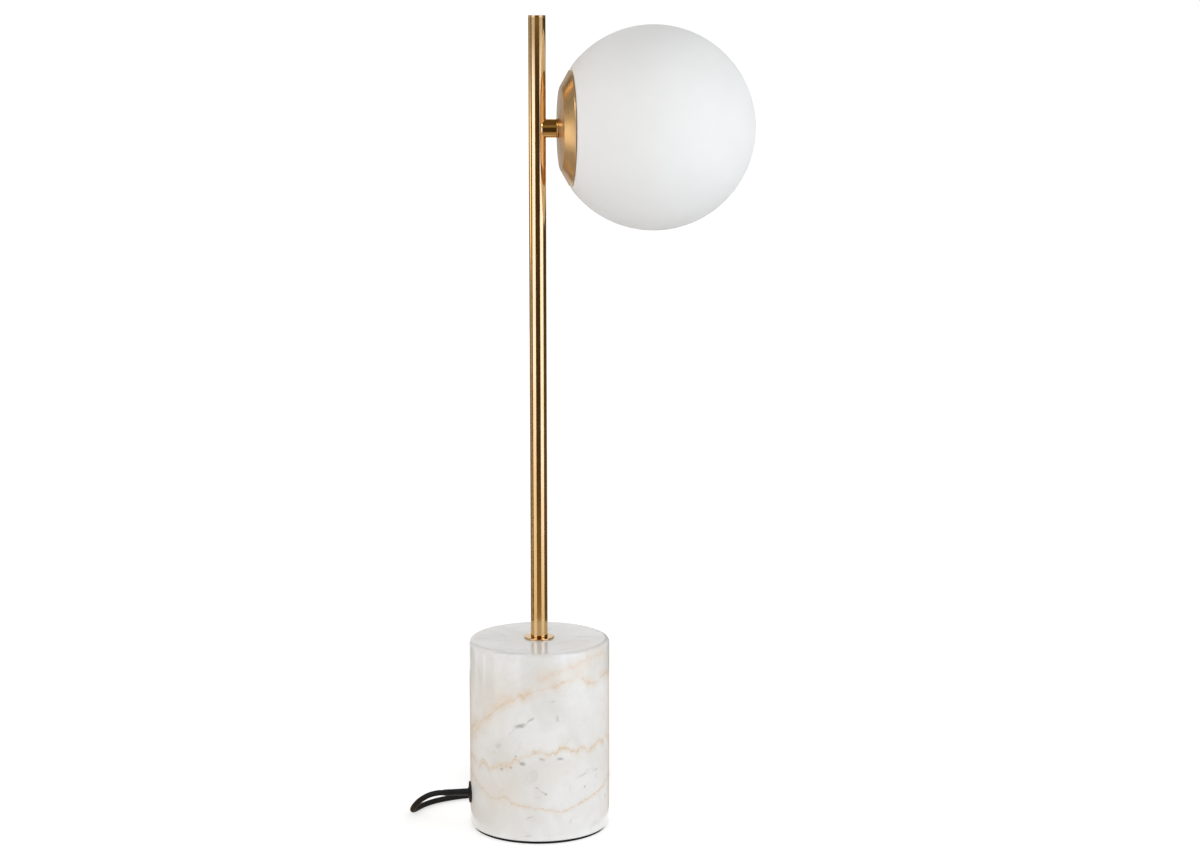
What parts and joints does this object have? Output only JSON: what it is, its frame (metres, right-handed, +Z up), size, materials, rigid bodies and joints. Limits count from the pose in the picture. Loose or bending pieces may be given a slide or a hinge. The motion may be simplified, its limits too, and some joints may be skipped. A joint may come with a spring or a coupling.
{
  "type": "glass globe table lamp",
  "caption": "Table lamp with a drum of polished marble, a slim brass pole, a short side arm with a spun brass cup, and an opal glass globe; mains cord with inline switch and plug.",
  "frame": {"origin": "middle of the foot pad's underside, on the pole's axis", "axes": "+Z up along the pole; +X along the side arm to the globe; the cord leaves the drum towards -X"},
  "size_m": [0.2448, 0.2797, 0.5765],
  "materials": {
    "marble": "polished white marble with faint grey clouds and thin ochre veins",
    "pad_foam": "matte black foam rubber",
    "polished_brass": "polished and lacquered",
    "brushed_brass": "spun, with fine circular brushing",
    "zinc_steel": "zinc plated",
    "spring_steel": "tempered strip",
    "nickel": "nickel plated",
    "ceramic": "fired, unglazed",
    "opal_glass": "opal glass with a satin outer face",
    "opal_plastic": "milky diffusing cover",
    "silicone": "translucent silicone",
    "black_rubber": "moulded, satin black",
    "cord_jacket": "smooth soft PVC, satin black",
    "brown_insulation": "soft insulation",
    "blue_insulation": "soft insulation",
    "black_plastic": "fine spark texture",
    "white_plastic": "moulded, matte"
  },
  "bodies": {
    "root": {"marble_base": "marble", "foot_pad": "pad_foam", "foot_collar": "polished_brass", "pole": "polished_brass", "pole_cap": "polished_brass", "base_nipple": "zinc_steel", "base_washer": "zinc_steel", "base_lock_washer": "zinc_steel", "base_nut": "zinc_steel", "terminal_block": "white_plastic", "terminal_screw_1": "nickel", "terminal_screw_2": "nickel", "arm_stem": "polished_brass", "stem_ring": "polished_brass", "arm_nipple": "zinc_steel", "spun_cup": "brushed_brass", "cup_spacer": "zinc_steel", "clip_plate": "zinc_steel", "spring_clip_1": "spring_steel", "spring_clip_2": "spring_steel", "spring_clip_3": "spring_steel", "clip_rivet_1": "zinc_steel", "clip_rivet_2": "zinc_steel", "clip_rivet_3": "zinc_steel", "arm_nut": "zinc_steel", "holder_bracket": "zinc_steel", "bracket_screw_1": "zinc_steel", "bracket_screw_2": "zinc_steel", "lampholder": "ceramic", "cord_gland": "black_rubber", "cord_tail": "cord_jacket", "cord_lead": "cord_jacket", "cord_middle": "cord_jacket", "cord_coil": "cord_jacket", "cord_end": "cord_jacket", "live_lead": "brown_insulation", "neutral_lead": "blue_insulation", "switch_base": "black_plastic", "switch_cover": "black_plastic", "switch_screw_1": "zinc_steel", "switch_screw_2": "zinc_steel", "plug_body": "black_plastic", "plug_pin_1": "nickel", "plug_pin_2": "nickel"},
    "globe": {"glass_globe": "opal_glass", "neck_gasket": "silicone"},
    "bulb": {"bulb_foot": "white_plastic", "bulb_cover": "opal_plastic", "bulb_pin_1": "nickel", "bulb_pin_2": "nickel"},
    "rocker": {"switch_rocker": "black_plastic"}
  },
  "joints": [
    {"name": "globe_pull", "type": "slide", "parent": "root", "child": "globe", "axis": [1, 0, 0], "range_m": [0, 0.075]},
    {"name": "bulb_pull", "type": "slide", "parent": "root", "child": "bulb", "axis": [1, 0, 0], "range_m": [0, 0.012]},
    {"name": "switch_rock", "type": "hinge", "parent": "root", "child": "rocker", "pos_m": [0.038, 0.118, 0.01435], "axis": [-1, 0, 0], "range_deg": [0, 14]}
  ]
}
